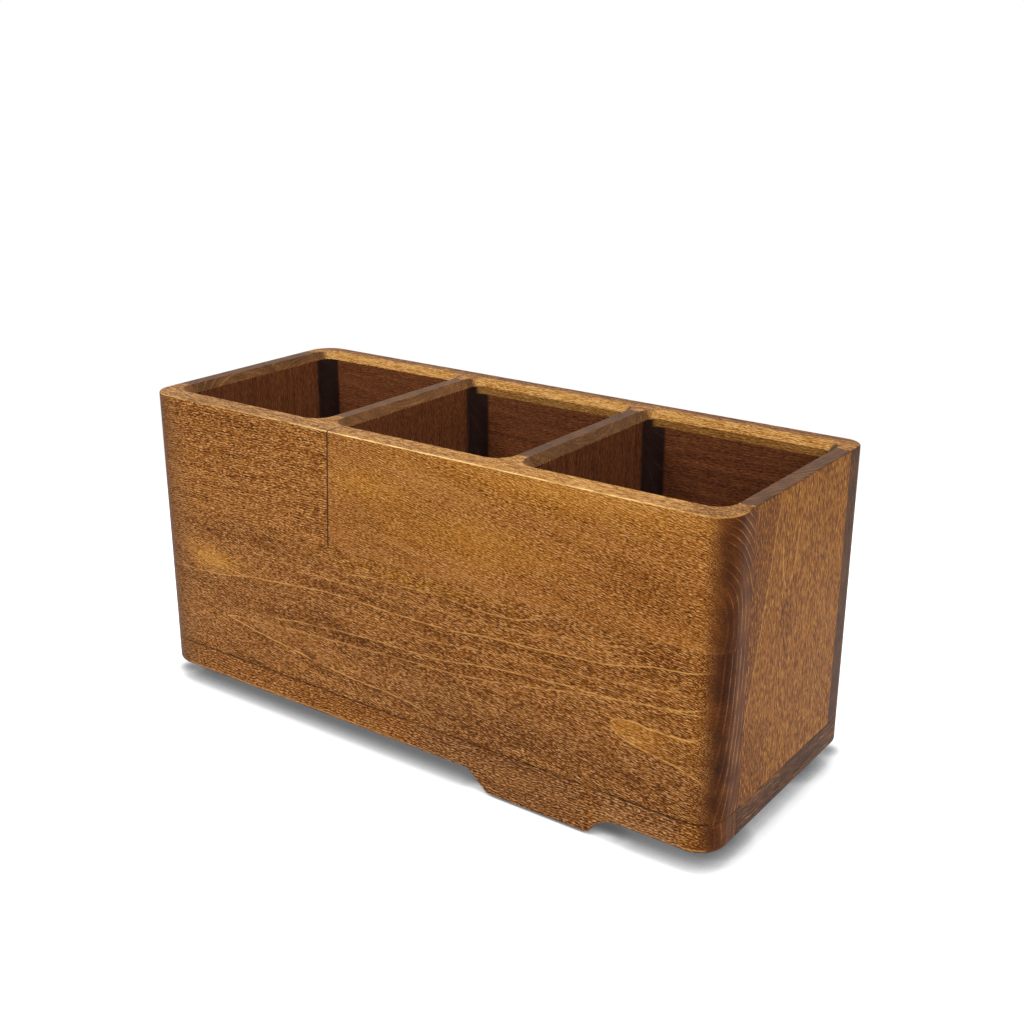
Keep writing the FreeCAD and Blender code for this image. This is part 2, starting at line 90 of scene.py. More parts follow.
# ---- nodes --------------------------------------------------------------
class Graph:
    """A short way to write down the nodes of one material."""

    def __init__(self, name):
        self.material = bpy.data.materials.new(name)
        self.material.use_nodes = True
        self.tree = self.material.node_tree
        self.tree.nodes.clear()

    def add(self, kind, **settings):
        node = self.tree.nodes.new("ShaderNode" + kind)
        for key, value in settings.items():
            setattr(node, key, value)
        return node

    def put(self, socket, value):
        """Links a node's output to the socket, or sets a plain value."""
        if isinstance(value, bpy.types.NodeSocket):
            self.tree.links.new(value, socket)
        else:
            socket.default_value = value

    def math(self, operation, *values, clamp=False):
        node = self.add("Math", operation=operation, use_clamp=clamp)
        for socket, value in zip(node.inputs, values):
            self.put(socket, value)
        return node.outputs[0]

    def chain(self, operation, values):
        """Joins several values by one operation, in their order."""
        found = values[0]
        for value in values[1:]:
            found = self.math(operation, found, value)
        return found

    def total(self, *values):
        """The sum of several values."""
        return self.chain("ADD", values)

    def times(self, *values):
        """The product of several values."""
        return self.chain("MULTIPLY", values)

    def largest(self, *values):
        """The largest of several values."""
        return self.chain("MAXIMUM", values)

    def less(self, first, second):
        """The first value less the second."""
        return self.math("SUBTRACT", first, second)

    def rest(self, value):
        """What a share leaves of 1."""
        return self.math("SUBTRACT", 1.0, value)

    def size(self, value):
        """A value without its sign."""
        return self.math("ABSOLUTE", value)

    def gap(self, first, second):
        """How far apart two values are."""
        return self.size(self.less(first, second))

    def ease(self, value, low, high, to_low=0.0, to_high=1.0):
        """A smooth step from to_low at low to to_high at high."""
        node = self.add("MapRange", interpolation_type="SMOOTHSTEP")
        given = (("Value", value), ("From Min", low), ("From Max", high), ("To Min", to_low),
                 ("To Max", to_high))
        for key, setting in given:
            self.put(node.inputs[key], setting)
        return node.outputs[0]

    def fall(self, value, low, high):
        """A smooth step from 1 at low to 0 at high."""
        return self.ease(value, low, high, 1.0, 0.0)

    def noise(self, vector, detail=2.0, roughness=0.5):
        """Noise of unit scale, about 0.5, over a vector in cells."""
        node = self.add("TexNoise")
        given = (("Vector", vector), ("Scale", 1.0), ("Detail", detail), ("Roughness", roughness))
        for key, value in given:
            self.put(node.inputs[key], value)
        return node.outputs["Fac"]

    def grit(self, place, fineness):
        """Rough noise with this many cells to the metre."""
        return self.noise(self.vector_math("MULTIPLY", place, (fineness, fineness, fineness)), 3.0, 0.6)

    def specks(self, vector, size):
        """Crisp noise that swings about 0 by size."""
        wave = self.noise(vector, 1.0, 0.6)
        return self.times(self.ease(wave, 0.3, 0.7, -1.0, 1.0), size)

    def swing(self, vector, size, detail=2.0, roughness=0.5):
        """Noise that swings about 0 by about size."""
        wave = self.noise(vector, detail, roughness)
        return self.times(self.less(wave, 0.5), 2.0 * size)

    def vector(self, x, y, z):
        node = self.add("CombineXYZ")
        for socket, value in zip(node.inputs, (x, y, z)):
            self.put(socket, value)
        return node.outputs[0]

    def vector_math(self, operation, first, second=None, output=0):
        node = self.add("VectorMath", operation=operation)
        self.put(node.inputs[0], first)
        if second is not None:
            self.put(node.inputs[1], second)
        return node.outputs[output]

    def millimetres(self, vector):
        """A place in metres, turned into millimetres."""
        place = self.vector_math("SCALE", vector)
        place.node.inputs["Scale"].default_value = 1 / MM
        return place

    def split(self, vector):
        node = self.add("SeparateXYZ")
        self.put(node.inputs[0], vector)
        return tuple(node.outputs)

    def ramp(self, factor, stops):
        """A colour ramp over sRGB stops."""
        node = self.add("ValToRGB")
        elements = node.color_ramp.elements
        elements.remove(elements[1])
        elements[0].position = stops[0][0]
        elements[0].color = colour(*stops[0][1])
        for place, tone in stops[1:]:
            elements.new(place).color = colour(*tone)
        self.put(node.inputs[0], factor)
        return node.outputs[0]

    def mix(self, factor, first, second):
        """A colour between two colours."""
        node = self.add("Mix", data_type="RGBA")
        self.put(node.inputs["Factor"], factor)
        self.put(node.inputs[6], first)
        self.put(node.inputs[7], second)
        return node.outputs[2]

    def curve(self, value, points):
        """A smooth curve through (value, result) points, in millimetres."""
        low_in, high_in = points[0][0], points[-1][0]
        low_out = min(p[1] for p in points) - 1.0
        high_out = max(p[1] for p in points) + 1.0
        share = self.math("DIVIDE", self.less(value, low_in), high_in - low_in, clamp=True)
        node = self.add("FloatCurve")
        self.put(node.inputs["Value"], share)
        line = node.mapping.curves[0]
        for _ in points[2:]:
            line.points.new(0.5, 0.5)
        for point, (along, across) in zip(line.points, points):
            share_in = (along - low_in) / (high_in - low_in)
            share_out = (across - low_out) / (high_out - low_out)
            point.location = (share_in, share_out)
        node.mapping.update()
        return self.total(self.times(node.outputs[0], high_out - low_out), low_out)

    def bump(self, shader, height, strength, depth):
        """Gives the shader a relief, its depth in millimetres."""
        node = self.add("Bump")
        node.inputs["Strength"].default_value = strength
        node.inputs["Distance"].default_value = depth * MM
        self.put(node.inputs["Height"], height)
        self.put(shader.inputs["Normal"], node.outputs[0])

    def surface(self, shader):
        """The finished material, with this shader on its surface."""
        out = self.add("OutputMaterial")
        self.tree.links.new(shader, out.inputs["Surface"])
        return self.material


# ---- wood ---------------------------------------------------------------
GRAIN_ORDER = {"X": (0, 1, 2), "Y": (1, 2, 0), "Z": (2, 0, 1)}


class Wood(Graph):
    """The nodes that all the wood shares: its place, its grain and fibres, its rings and some masks."""

    def __init__(self, name, grain, seed, slant=0.0):
        super().__init__(name)
        source = self.add("TexCoord")
        self.xyz = self.split(self.millimetres(source.outputs["Object"]))
        self.facing = self.split(source.outputs["Normal"])
        order = GRAIN_ORDER[grain]
        self.axes = tuple(self.xyz[k] for k in order)
        along, first, second = self.axes
        leaning = self.total(second, self.times(along, slant))
        shift = (seed * 137.0, seed * 71.0, seed * 53.0)
        self.grain = self.vector_math("ADD", self.vector(along, first, leaning), shift)
        turned = self.total(self.size(self.facing[order[0]]), self.swing(self.stretched(9, 9), 0.16))
        self.end = self.ease(turned, 0.1, 0.85)
        self.flat = self.rest(self.end)
        self.top = self.ease(self.facing[2], 0.4, 0.8)

    def stretched(self, along, across):
        """The grain's coordinates in cells of this length and width."""
        return self.vector_math("MULTIPLY", self.grain, (1 / along, 1 / across, 1 / across))

    def fibres(self, length, pitch, size):
        """Short fine lines along the grain, pale and dark by turns, and finer specks."""
        _, first, leaning = self.split(self.grain)
        turns = self.times(self.total(first, leaning), 2 * math.pi / pitch)
        phase = self.total(turns, self.swing(self.stretched(length, 1.5 * pitch), 5.0, 1.0),
                           self.swing(self.stretched(24, 14), 12.0, 1.0))
        share = self.ease(self.noise(self.stretched(0.5 * length, 0.8 * pitch), 1.0), 0.36, 0.66, 0.05, 1.1)
        return self.total(self.times(self.math("SINE", phase), share, size),
                          self.specks(self.stretched(0.66 * length, 0.36 * pitch), 0.88 * size))

    def inside(self):
        """1 on the faces of the compartments below their chamfers, and 0 outside."""
        x, y, z = self.xyz
        margin = 0.4
        masks = (self.fall(self.size(x), WALL_INNER + margin, WALL_INNER + 2 * margin),
                 self.ease(y, CELL_FRONT - 2 * margin, CELL_FRONT - margin),
                 self.fall(y, CELL_BACK + margin, CELL_BACK + 2 * margin),
                 self.fall(z, CHAMFER_Z - margin, CHAMFER_Z))
        return self.times(*masks)

    def shaded_cell_corners(self):
        """1 in the rounded upright corners of the compartments and just beside them, where shade is
        painted.
        """
        x, y, z = self.xyz
        margin, soft = 1.2, 1.8
        aside = self.ease(self.math("PINGPONG", x, CELL_PITCH / 2), CELL_FLAT, CELL_FLAT + soft)
        near = self.largest(self.ease(y, BACK_INNER - margin - soft, BACK_INNER - margin),
                            self.fall(y, FRONT_INNER + margin, FRONT_INNER + margin + soft))
        upright = self.rest(self.top)
        return self.times(aside, near, upright, self.ease(z, BOX_Z, BOX_Z + 1.0))

    def in_front(self):
        """1 on the front face and its rounded edges."""
        return self.fall(self.xyz[1], -57.0, -56.0)

    def front_arris_highlight(self):
        """1 on the rounded front edge of the rim, where a pale line is painted as its highlight."""
        slope = self.times(self.times(self.facing[1], -1.0), self.facing[2])
        edge = self.times(self.ease(slope, 0.3, 0.46), self.in_front())
        ends = self.times(self.ease(self.xyz[0], -60.0, -30.0, 0.35, 1.0),
                          self.ease(self.xyz[0], 105.0, 140.0, 1.0, 0.2))
        return self.times(edge, ends, self.ease(self.noise(self.stretched(7, 7)), 0.35, 0.6, 0.45, 1.0))

    def rings(self, pith, lean, spacing, waver):
        """Growth rings round a pith line that leans across the grain, counted from the pith."""
        along, first, second = self.axes
        offset_1 = self.less(self.less(first, pith[0]), self.times(along, lean[0]))
        offset_2 = self.less(self.less(second, pith[1]), self.times(along, lean[1]))
        radius = self.vector_math("LENGTH", self.vector(0.0, offset_1, offset_2), output=1)
        radius = self.total(radius, self.swing(self.stretched(70, 22), waver))
        radius = self.total(radius, self.swing(self.stretched(14, 5), waver * 0.25))
        return self.math("DIVIDE", radius, spacing)

    def glue_line(self, coordinate, place, width=0.35):
        """A thin dark line where a coordinate passes a joint plane."""
        distance = self.gap(coordinate, place)
        return self.fall(distance, 0.3 * width, width)


def face_tone(w, late, shade, tone, ring_depth, blotch, streak, fibre, fibre_size):
    """How dark the long grain is: bands, streaks, rings, and fibres that stand out in dark places."""
    broad = w.total(tone,
                    shade,
                    w.swing(w.stretched(70, 26), blotch, 3.0, 0.55),
                    w.swing(w.stretched(18, 6), blotch * 0.6, 2.0, 0.6),
                    w.swing(w.stretched(60, 4.0), streak, 1.0, 0.5),
                    w.swing(w.stretched(26, 0.9), streak, 1.0, 0.5),
                    w.times(w.less(late, 0.5), ring_depth))
    contrast = w.ease(broad, 0.3, 0.66, 0.65, 1.15)
    on_top = w.times(w.top, w.total(w.specks(w.stretched(6.0, 1.0), 0.24), -0.06))
    return w.total(broad, w.times(w.fibres(*fibre_size, fibre), contrast), on_top)


def end_tone(w, ring, late, tone, rings, top_rings, shade, line_mask):
    """How dark the end grain is: soft patches, bands, pale ring lines and pores."""
    line = w.ease(w.gap(late, 0.5), 0.34, 0.48)
    faint = w.ease(w.noise(w.vector_math("ADD", w.stretched(200, 8), (0.0, 7.0, 3.0))), 0.3, 0.6, 0.2, 1.0)
    upright = w.rest(w.times(w.top, 1.0 - top_rings))
    band = w.swing(w.vector(w.times(ring, 1.7), 3.1, 0.0), 0.6 * rings, 2.0, 0.6)
    return w.total(tone,
                   shade,
                   w.times(line, faint, upright, line_mask, -rings),
                   w.times(band, line_mask),
                   w.swing(w.stretched(60, 9), 0.32, 3.0, 0.6),
                   w.specks(w.stretched(8, 0.5), 0.1))


def stained(name, grain, seed, tone=0.5, palette=LONG_GRAIN, fibre=0.4, fibre_size=(3.0, 1.2), slant=0.0,
            streak=0.12, blotch=0.12, figure=None, pith=(30.0, 40.0), lean=(0.02, 0.01), spacing=4.0,
            waver=0.8, ring_depth=0.1, face_rings=0.0, end=0.45, end_rings=0.3, top_rings=0.15,
            end_cool=0.0, end_shade=None, glue=(), extra=None):
    """Stained and oiled hardwood.

    grain is the axis it runs along, tone how dark the long grain is and end how dark the end grain. figure
    and end_shade add to these, and extra repaints the result. fibre_size is the length and the pitch of the
    fibres in millimetres, and slant how far they lean. pith, lean and spacing place the growth rings and
    waver bends them. ring_depth shades them on long grain, face_rings draws them there as pale lines, and
    end_rings and top_rings say how clear they are on end grain and where it looks up. end_cool greys the
    end grain. glue lists the glue lines, which are drawn last, as axis, place and strength.
    """
    w = Wood(name, grain, seed, slant)
    ring = w.rings(pith, lean, spacing, waver)
    late = w.math("FRACT", ring)
    shade, lines = figure(w) if figure else (0.0, None)
    long_tone = face_tone(w, late, shade, tone, ring_depth, blotch, streak, fibre, fibre_size)
    darker, line_mask = end_shade(w) if end_shade else (0.0, 1.0)
    end_value = end_tone(w, ring, late, end, end_rings, top_rings, darker, line_mask)
    end_paint = w.mix(w.largest(w.top, end_cool), w.ramp(end_value, END_GRAIN), w.ramp(end_value, TOP_END))
    face = w.mix(w.top, w.ramp(long_tone, palette), w.ramp(long_tone, TOP_GRAIN))
    outer = w.mix(w.end, face, end_paint)
    if face_rings:
        lines = ring_lines(w, late, spacing, face_rings)
    if lines:
        outer = w.mix(w.times(lines, w.flat), outer, colour(*GROWTH_LINE_AND_HIGHLIGHT))
    # a painted highlight along the rounded front edge of the rim
    outer = w.mix(w.times(w.front_arris_highlight(), w.flat), outer, colour(*EDGE_HIGHLIGHT))
    paint = w.mix(w.inside(), outer, inner_paint_and_shade(w, long_tone, end_value))
    if extra:
        paint = extra(w, paint, long_tone)
    for axis, place, strength in glue:
        line = w.glue_line(w.xyz["XYZ".index(axis)], place)
        broken = w.ease(w.noise(w.stretched(9, 9)), 0.3, 0.6, 0.4, 1.0)
        paint = w.mix(w.times(line, broken, strength), paint, colour(*GLUE_AND_SEAM_SHADE))
    pores = w.noise(w.stretched(fibre_size[0], 0.2 * fibre_size[1]), 2.0, 0.7)
    return finish(w, paint, pores, STAIN_ROUGH)


def inner_paint_and_shade(w, long_tone, end_value):
    """Calmer, redder wood in the compartments, darkened by stain and painted shade, darkest in the corners.
    """
    calm_tone = w.total(w.times(long_tone, 0.5), 0.16, w.swing(w.stretched(60, 2.4), 0.26, 2.0, 0.6),
                        w.ease(w.xyz[0], -150.0, 110.0, -0.08, 0.04))
    # painted shade in the rounded corners, with the dark end grain
    dark = w.largest(w.end, w.shaded_cell_corners())
    return w.mix(dark, w.ramp(calm_tone, INSIDE_STAIN_AND_SHADE), w.ramp(end_value, INSIDE_END_AND_SHADE))


def ring_lines(w, late, spacing, strength):
    """Pale lines where the growth rings come out on a face."""
    centre = w.gap(late, 0.5)
    distance = w.times(w.less(0.5, centre), spacing)
    broken = w.ease(w.noise(w.stretched(9, 3)), 0.3, 0.6, 0.3, 1.0)
    return w.times(w.fall(distance, 0.05, 0.2), broken, strength)


def finish(w, paint, relief, rough):
    """A satin wood surface with a fine relief."""
    shader = w.add("BsdfPrincipled")
    w.put(shader.inputs["Base Color"], paint)
    w.put(shader.inputs["Roughness"], w.total(w.times(relief, 0.2), rough - 0.1))
    shader.inputs["Specular IOR Level"].default_value = 0.06
    w.bump(shader, relief, 0.14, 0.15)
    return w.surface(shader.outputs[0])


# ---- figure of the boards -----------------------------------------------
# Pale growth lines on the lower front stave, as (X, Z) points, the strength of each, and how much darker
# the wood under it is.
LOWER_LINES = (
    (((-150, 61.5), (-121, 62), (-83, 67), (-40, 70.5), (16, 70.5), (55, 73.5), (100, 77), (124, 82),
      (150, 85)), 0.75, 0.5),
    (((-75, 49.5), (-35, 54), (16, 56), (57, 61), (75, 62.5), (109, 64), (150, 72)), 0.7, 0.3),
    (((-107, 43.5), (-60, 47), (-10, 50), (41, 53), (73, 58.5), (90, 61.5), (150, 68)), 0.6, -0.2),
    (((-107, 43.5), (-89, 40), (-35, 33.5), (5, 30.5), (17, 26), (28, 21)), 0.9, 0.6),
    (((-30, 82), (16, 84.5), (46, 83), (69, 87), (84, 91), (96, 91.5)), 0.6, 0.3),
    (((-60, 76.5), (10, 78), (45, 78.5), (80, 82), (120, 88)), 0.4, 0.0),
    (((-40, 60.5), (20, 64), (60, 67.5), (110, 71), (140, 77)), 0.35, 0.0),
)
# Soft patches of the front, as centre and size in X and Z, and how much darker they are.
LOWER_PATCHES = (((-117, 69), (14, 7), -0.22), ((20, 24), (9, 3), -0.06), ((-32, 73), (36, 3), 0.2),
                 ((124, 34), (26, 11), 0.12), ((-85, 85), (40, 5), 0.14), ((50, 85), (30, 4), 0.08),
                 ((-60, 55), (40, 5), 0.14), ((34, 60), (50, 6), 0.1), ((-10, 50), (55, 6), 0.2),
                 ((40, 31), (60, 6), 0.12), ((126, 86), (16, 4), 0.18), ((134, 48), (12, 5), 0.14))
UPPER_PATCHES = (((118, 110), (30, 16), 0.14), ((4, 110), (30, 12), 0.09), ((110, 142), (50, 5), -0.12))
# Golden places of the front staves, as centre and size.
LOWER_GOLD = (((-112, 70), (20, 6)), ((0, 88), (50, 4)))
UPPER_GOLD = (((70, 139), (70, 8)), ((-14, 124), (24, 8)), ((30, 112), (50, 10)))
# Darker patches of the end grain at the right front corner, in Y and Z.
LOWER_CORNER = (((-54, 84), (6, 12), 0.3), ((-55, 46), (4, 16), 0.2))
UPPER_CORNER = (((-56, 130), (4, 10), 0.22), ((-54, 102), (5, 8), 0.16))
# The two outlines of the pale flame at the right end of the lower stave, as (X, Z) points.
FLAME_UP = ((104, 52.8), (105, 54.5), (110, 56.2), (122, 55.8), (138, 56.3), (145, 60), (150, 64))
FLAME_DOWN = ((104, 52.8), (106, 50.5), (110, 48), (115, 46.8), (126, 45.4), (138, 43), (145, 38),
              (150, 26))


def growth_line(w, along, across, points, width):
    """How near a growth line is, from 0 to 1, the signed distance across it, and 1 along its length."""
    path = w.curve(along, points)
    waver = w.total(w.swing(w.stretched(24, 30), 1.0),
                    w.swing(w.stretched(5, 6), 0.5),
                    w.swing(w.stretched(1.6, 2), 0.2))
    distance = w.less(w.total(across, waver), path)
    near = w.fall(w.size(distance), 0.15 * width, width)
    starts = w.ease(along, points[0][0] - 0.3, points[0][0] + 1.0)
    ends = w.fall(along, points[-1][0] - 12.0, points[-1][0])
    broken = w.ease(w.noise(w.stretched(6, 2)), 0.3, 0.56, 0.35, 1.0)
    return w.times(near, starts, ends, broken), distance, w.times(starts, ends)


def spot(w, here, centre, size):
    """A soft round patch, 1 in its middle and 0 at 1.6 times its size."""
    across = w.math("DIVIDE", w.less(here[0], centre[0]), size[0])
    up = w.math("DIVIDE", w.less(here[1], centre[1]), size[1])
    distance = w.vector_math("LENGTH", w.vector(across, up, 0.0), output=1)
    return w.fall(distance, 0.0, 1.6)


def patch_shades(w, here, patches):
    """How much each soft patch changes the shade here."""
    return [w.times(spot(w, here, centre, size), darker) for centre, size, darker in patches]


def lower_front_figure(w):
    """Shading and pale growth lines of the lower front stave, with the flame at its right end."""
    x, _, z = w.xyz
    shades, lines = [], []
    for points, strength, shade in LOWER_LINES:
        line, distance, span = growth_line(w, x, z, points, 0.44)
        lines.append(w.times(line, strength))
        below = w.times(w.ease(distance, -8.0, -0.2), w.fall(distance, -0.2, 0.3), span)
        shades.append(w.times(below, 0.2 * shade))
    upper, above, span = growth_line(w, x, z, FLAME_UP, 0.6)
    lower, under, _ = growth_line(w, x, z, FLAME_DOWN, 0.7)
    lines.append(w.times(w.largest(upper, lower), 0.9))
    inside = w.times(w.fall(above, -0.3, 0.2), w.ease(under, -0.2, 0.3), span)
    shades.append(w.times(inside, w.ease(x, 104, 140, 0.15, 0.04), -1.0))
    w.flame = w.times(inside, w.ease(x, 104, 146, 0.42, 0.1))    # lower_tint paints it golden
    # painted shade along the foot of the stave, over the seam above the tray
    shades.append(w.ease(z, BOX_Z + 0.5, BOX_Z + 2.5, 0.12, 0.0))
    shades += patch_shades(w, (x, z), LOWER_PATCHES)
    return w.total(*shades), w.largest(*lines)


def upper_right_figure(w):
    """Soft patches of the upper right stave, and its darker rim by the corner."""
    x, _, z = w.xyz
    rim = w.times(w.top, w.ease(x, 116, 142), 0.2)
    return w.total(*patch_shades(w, (x, z), UPPER_PATCHES), rim), None


# Right wall, as (Z, Y) points: a slanting growth line on the front stave, and a small tip on the rear one.
SIDE_SLANT = ((50, -41.5), (78, -33.5), (110, -26), (150, -18))
TIP_REAR = ((102.6, -8.5), (103.5, -7.0), (108, -4.6), (118, -2.4), (130, -0.8))
TIP_FRONT = ((102.6, -8.5), (103.5, -10.0), (108, -12.2), (118, -14.4), (130, -15.6))


def right_front_figure(w):
    """The slanting line, with redder wood in front of it."""
    _, y, z = w.xyz
    line, distance, span = growth_line(w, z, y, SIDE_SLANT, 0.6)
    shade = w.times(w.fall(distance, -1.0, 0.3), span, 0.13)
    low = w.times(w.fall(z, 40, 62), 0.1)
    return w.total(shade, low), w.times(line, 0.5)


def right_rear_figure(w):
    """A small growth tip, and a dark nick under the rim."""
    _, y, z = w.xyz
    ahead, _, _ = growth_line(w, z, y, TIP_FRONT, 0.9)
    behind, _, _ = growth_line(w, z, y, TIP_REAR, 0.9)
    under = spot(w, (y, z), (-6.0, 92.0), (7.0, 11.0))
    nick = w.times(w.fall(w.gap(y, -7.9), 0.2, 0.5), w.ease(z, 140.5, 142.0))
    return w.total(w.times(under, 0.1), nick), w.times(w.largest(ahead, behind), 0.5)


def corner_shade(start, middle, side, patches=()):
    """End grain of a front piece: how dark it is at the front, in the middle, behind and in its patches."""
    def shade(w):
        first = w.ease(w.xyz[1], -58.0, -52.0, start, middle)
        last = w.ease(w.xyz[1], -50.0, -42.0, 0.0, side - middle)
        line_mask = w.ease(w.xyz[1], -57.5, -50.0, 0.15, 1.0)
        return w.total(first, last, *patch_shades(w, w.xyz[1:], patches)), line_mask
    return shade


# ---- tints --------------------------------------------------------------
def butt_joint(w, paint):
    """The upright glue line between the two upper front staves, which leans to the right."""
    x, _, z = w.xyz
    middle = (RIM_Z + FRONT_JOINT_Z) / 2
    lean = w.times(w.less(z, middle), BUTT_JOINT_LEAN)
    line = w.glue_line(w.less(x, lean), BUTT_JOINT_X, 0.62)
    return w.mix(w.times(line, 0.92), paint, colour(*GLUE_AND_SEAM_SHADE))


def gilded(w, paint, long_tone, places):
    """The paint with soft golden places on its long grain."""
    here = (w.xyz[0], w.xyz[2])
    gold = w.largest(*[spot(w, here, centre, size) for centre, size in places])
    return w.mix(w.times(gold, w.flat, 0.55), paint, w.ramp(long_tone, GOLD_GRAIN))


def left_turn_shade(w, paint, long_tone):
    """The left end of the front, turned from the light: calmer, painted darker as shade, greyer as
    reflection.
    """
    x = w.xyz[0]
    calm = w.total(w.times(long_tone, 0.5), w.ease(x, -147.0, -134.0, 0.54, 0.3))
    mask = w.times(w.ease(x, -144.0, -122.0, 0.9, 0.0), w.fall(w.facing[1], -0.6, -0.3),
                   w.fall(w.facing[2], 0.3, 0.6))
    return w.mix(mask, paint, w.ramp(calm, DULL_GRAIN))


def lower_tint(w, paint, long_tone):
    """The lower stave: golden places and flame, duller at the lower right, and painted shade at the left
    end.
    """
    x, _, z = w.xyz
    paint = gilded(w, paint, long_tone, LOWER_GOLD)
    low = w.times(w.ease(z, 36.0, 64.0, 0.3, 0.0), w.ease(x, -70.0, 20.0))
    paint = w.mix(w.times(low, w.flat), paint, w.ramp(w.total(long_tone, 0.06), DULL_GRAIN))
    calm = w.total(w.times(long_tone, 0.6), 0.15)
    paint = w.mix(w.flame, paint, w.ramp(calm, GOLD_GRAIN))
    return left_turn_shade(w, paint, long_tone)


def upper_left_tint(w, paint, long_tone):
    """The upper left stave: painted shade at its left end, where it turns from the light."""
    return butt_joint(w, left_turn_shade(w, paint, long_tone))


def upper_right_tint(w, paint, long_tone):
    """The upper right stave: golden places, and a painted highlight on the rim's rounded edge at the
    corner.
    """
    paint = gilded(w, paint, long_tone, UPPER_GOLD)
    # a painted highlight where the rim's rounded edge turns round the corner
    edge = w.times(w.ease(w.facing[2], 0.2, 0.45), w.fall(w.facing[2], 0.85, 0.97),
                   w.fall(w.xyz[1], -46.0, -44.0), w.ease(w.xyz[0], 112.0, 134.0))
    pale = w.ramp(w.times(long_tone, 0.4), TOP_GRAIN)
    return butt_joint(w, w.mix(w.times(edge, 0.8), paint, pale))


def back_mouth(w, paint, long_tone):
    """Golden chamfers with dark right ends on the back board, a golden band under two, and a dull rim."""
    x, y, z = w.xyz
    chamfer = w.times(w.ease(z, CHAMFER_Z - 0.2, CHAMFER_Z + 0.2), w.ease(w.facing[1], -0.3, -0.55),
                      w.ease(w.facing[2], 0.3, 0.6))
    band = w.times(w.ease(z, BAND_Z - 0.3, BAND_Z + 0.3), w.fall(z, CHAMFER_Z - 0.2, CHAMFER_Z + 0.2),
                   w.ease(w.facing[1], -0.6, -0.9), w.ease(x, -46.0, -43.0))
    calm = w.total(w.times(long_tone, 0.6), -0.05)
    paint = w.mix(w.times(chamfer, 0.95), paint, w.ramp(calm, TOP_GRAIN))
    low = w.total(w.times(long_tone, 0.5), w.ease(x, 30.0, 60.0, 0.0, 0.08))
    paint = w.mix(w.times(band, 0.8), paint, w.ramp(low, TOP_GRAIN))
    rim = w.ease(w.facing[2], 0.9, 0.97)
    dull = w.ramp(w.total(w.times(long_tone, 0.8), w.ease(y, 52.0, 58.0, 0.16, 0.5)), TOP_GRAIN)
    paint = w.mix(w.times(rim, 0.9), paint, dull)
    turned = w.times(w.ease(w.facing[0], -0.35, -0.6), w.ease(z, 137.0, 139.0), w.ease(y, 58.0, 56.0))
    return w.mix(w.times(turned, 0.75), paint, colour(*GLUE_AND_SEAM_SHADE))


def strip_edges(w, paint, long_tone):
    """The tray front: painted highlight and shade on its lower edge, a dull tab, painted shade in the seam.
    """
    down = w.times(w.facing[2], -1.0)
    in_front = w.in_front()
    # a painted highlight along the lower edge, where it starts to turn down
    line = w.times(w.ease(down, 0.1, 0.25), w.fall(down, 0.35, 0.5), in_front)
    paint = w.mix(w.times(line, 0.45), paint, colour(*GROWTH_LINE_AND_HIGHLIGHT))
    # painted shade on the faces of the lower edge that look down
    dull = w.ramp(w.total(long_tone, 0.34), LONG_GRAIN)
    paint = w.mix(w.ease(down, 0.45, 0.8, 0.0, 0.85), paint, dull)
    tab = w.times(w.ease(w.xyz[0], -10.0, 20.0), w.fall(w.xyz[0], 84.0, 108.0), in_front)
    beside = w.times(w.ease(w.xyz[0], 90.0, 104.0), w.fall(w.xyz[0], 132.0, 142.0), in_front)
    worn = w.total(long_tone, w.times(beside, -0.1))
    paint = w.mix(w.times(w.largest(tab, beside), 0.6), paint, w.ramp(worn, DULL_GRAIN))
    # painted shade and reflection at the left end, where the front turns from the light
    paint = left_turn_shade(w, paint, long_tone)
    # painted shade in the seam between the tray and the box, weaker at the tab
    seam = w.times(w.ease(w.xyz[2], BOX_Z - 1.2, BOX_Z - 0.4, 0.0, 0.5), w.rest(w.times(tab, 0.6)))
    return w.mix(w.times(seam, in_front), paint, colour(*GLUE_AND_SEAM_SHADE))


def smoky(w, paint, long_tone):
    """A cooler and smokier stain."""
    return w.mix(0.7, paint, w.ramp(long_tone, TOP_END))


def veneers(w, paint, long_tone):
    """The edges of plywood: thin layers, every other one across the grain."""
    layer = w.math("FRACT", w.math("DIVIDE", w.xyz[2], 2 * VENEER))
    across = w.times(w.ease(layer, 0.46, 0.54), w.fall(layer, 0.94, 1.0))
    edge = w.ease(w.size(w.facing[2]), 0.5, 0.3)
    bands = w.mix(across, w.ramp(long_tone, LONG_GRAIN), w.ramp(w.total(long_tone, 0.2), END_GRAIN))
    return w.mix(edge, paint, bands)


# ---- the pieces ---------------------------------------------------------
def wear(name, material):
    """Gives a CAD node its finish."""
    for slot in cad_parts[name].material_slots:
        slot.link = "OBJECT"
        slot.material = material


